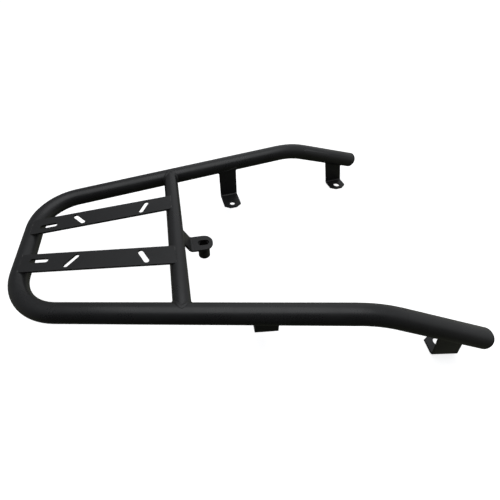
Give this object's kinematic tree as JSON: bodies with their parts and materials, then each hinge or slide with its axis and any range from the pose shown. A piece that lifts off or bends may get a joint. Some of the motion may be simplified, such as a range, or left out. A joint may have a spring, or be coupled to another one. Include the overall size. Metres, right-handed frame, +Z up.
{
  "type": "vehicle rear luggage rack",
  "caption": "Welded tubular rear rack: a bent hoop with two dropped forward arms, a cross tube, slotted carrier plates, angle feet and a centre tab with a bush.",
  "frame": {"origin": "middle of the footprint, at the level of the undersides of the front feet", "axes": "+X forward, from the closed rear run of the hoop to the free ends of the arms; +Y to the left; +Z up, square to the carrier plates"},
  "size_m": [0.5704, 0.3992, 0.1077],
  "materials": {
    "tube_coat": "satin black powder coat on steel tube",
    "plate_coat": "satin black powder coat on steel strip",
    "weld_coat": "satin black powder coat over weld beads",
    "cap_plastic": "matte black moulded cap"
  },
  "bodies": {
    "root": {"hoop_tube": "tube_coat", "end_cap_left": "cap_plastic", "end_cap_right": "cap_plastic", "cross_tube": "tube_coat", "plate_left": "plate_coat", "plate_right": "plate_coat", "rear_bracket_left": "plate_coat", "rear_bracket_right": "plate_coat", "front_bracket_left": "plate_coat", "front_bracket_right": "plate_coat", "centre_tab": "plate_coat", "centre_bush": "plate_coat", "cross_weld_left": "weld_coat", "cross_weld_right": "weld_coat", "plate_welds_left": "weld_coat", "plate_welds_right": "weld_coat", "rear_bracket_weld_left": "weld_coat", "rear_bracket_weld_right": "weld_coat", "front_bracket_weld_left": "weld_coat", "front_bracket_weld_right": "weld_coat", "tab_weld": "weld_coat", "bush_weld": "weld_coat"}
  },
  "joints": []
}
